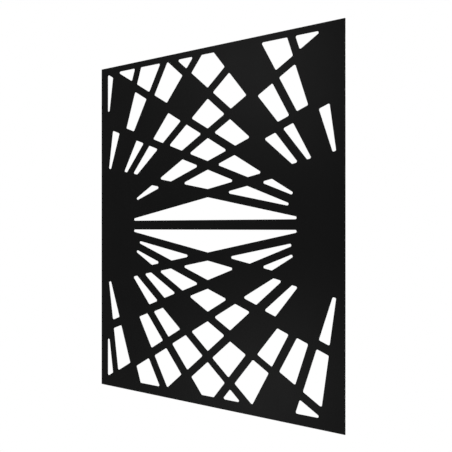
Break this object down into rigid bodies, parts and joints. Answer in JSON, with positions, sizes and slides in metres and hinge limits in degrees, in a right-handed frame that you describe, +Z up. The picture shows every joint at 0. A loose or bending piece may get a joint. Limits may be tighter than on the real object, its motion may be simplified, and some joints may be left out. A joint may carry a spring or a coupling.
{
  "type": "decorative screen panel",
  "caption": "Upright thin black metal screen with a lattice of sunray cut-outs fanned from both side edges, held off a wall by concealed tapped standoffs behind.",
  "frame": {"origin": "where the axis between the two fans of rays crosses the middle of the level bar, on the plane of the standoffs' rear faces, which is the wall's plane", "axes": "+X to the right seen from the front, +Z up; the face looks along -Y and the standoffs point back along +Y"},
  "size_m": [0.95, 0.0265, 1.2],
  "materials": {
    "sheet": "satin black powder coat on cut sheet steel",
    "stud": "copper-flashed steel weld stud",
    "standoff": "satin, sawn from drawn hexagon bar"
  },
  "bodies": {
    "root": {"screen_sheet": "sheet", "weld_stud_upper_left": "stud", "standoff_upper_left": "standoff", "weld_stud_upper_right": "stud", "standoff_upper_right": "standoff", "weld_stud_lower_left": "stud", "standoff_lower_left": "standoff", "weld_stud_lower_right": "stud", "standoff_lower_right": "standoff"}
  },
  "joints": []
}
